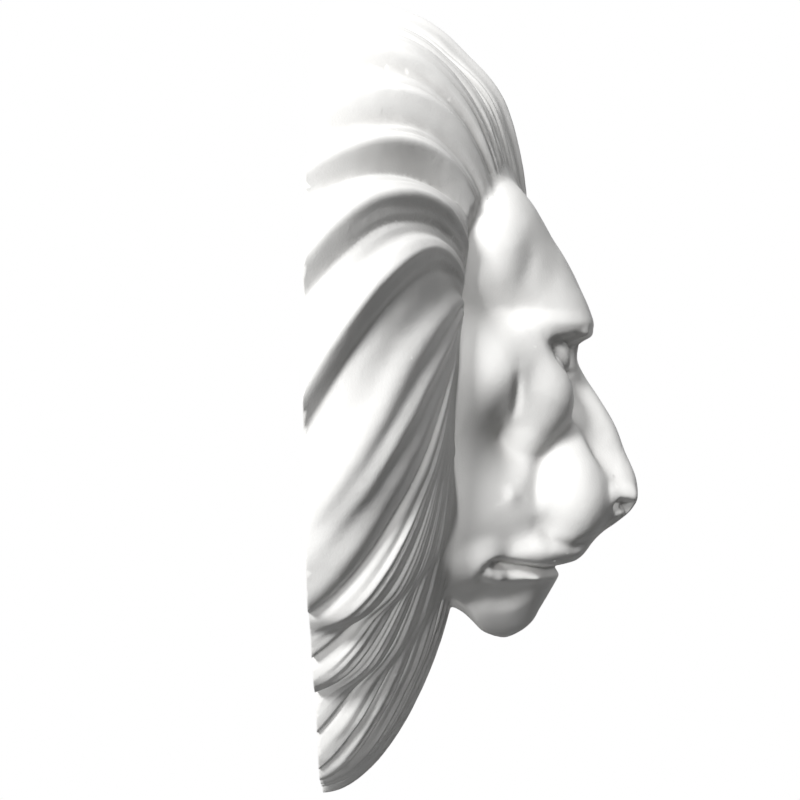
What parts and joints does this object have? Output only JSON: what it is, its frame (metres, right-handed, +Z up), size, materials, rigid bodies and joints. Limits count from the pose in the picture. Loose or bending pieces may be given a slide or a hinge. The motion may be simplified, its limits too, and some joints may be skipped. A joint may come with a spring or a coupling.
{
  "type": "lion head wall mask",
  "caption": "Lion's head with a full swept-back mane, cast in white plaster with a flat back that is fixed to a wall.",
  "frame": {"origin": "on the flat back, on the middle line at mid height", "axes": "+Y out of the back towards the wall, the lion faces -Y, +Z up, +X across"},
  "size_m": [0.34, 0.1567, 0.3959],
  "materials": {
    "cast_plaster": "white casting plaster, matt, with a fine smooth skin, bare"
  },
  "bodies": {
    "root": {"lion_mask": "cast_plaster"}
  },
  "joints": []
}
